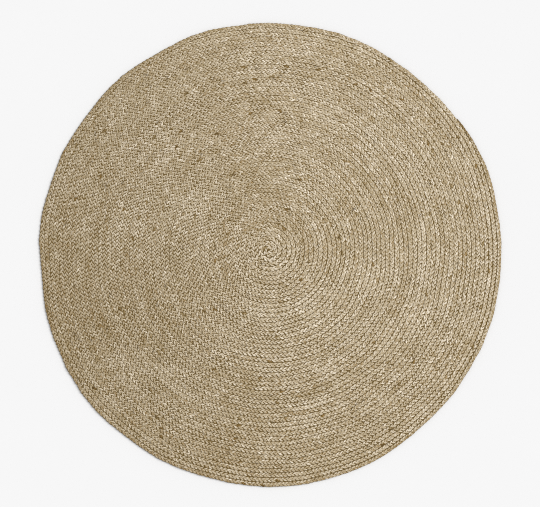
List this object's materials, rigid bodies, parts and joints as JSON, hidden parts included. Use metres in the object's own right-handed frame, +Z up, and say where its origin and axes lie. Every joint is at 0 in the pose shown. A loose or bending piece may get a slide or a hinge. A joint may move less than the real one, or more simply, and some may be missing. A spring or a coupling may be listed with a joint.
{
  "type": "round jute rug",
  "caption": "Flat round floor rug of undyed jute, one braid wound in a spiral and sewn, with an uneven hand-wound outline.",
  "frame": {"origin": "centre of the bounding box, on the face that lies on the floor", "axes": "+Z up from the floor, through the rug's thickness; the braid's sewn end lies about 35 degrees from +X towards +Y"},
  "size_m": [1.496, 1.5018, 0.009],
  "materials": {
    "jute": "matt, coarse plant fibre"
  },
  "bodies": {
    "root": {"rug": "jute"}
  },
  "joints": []
}
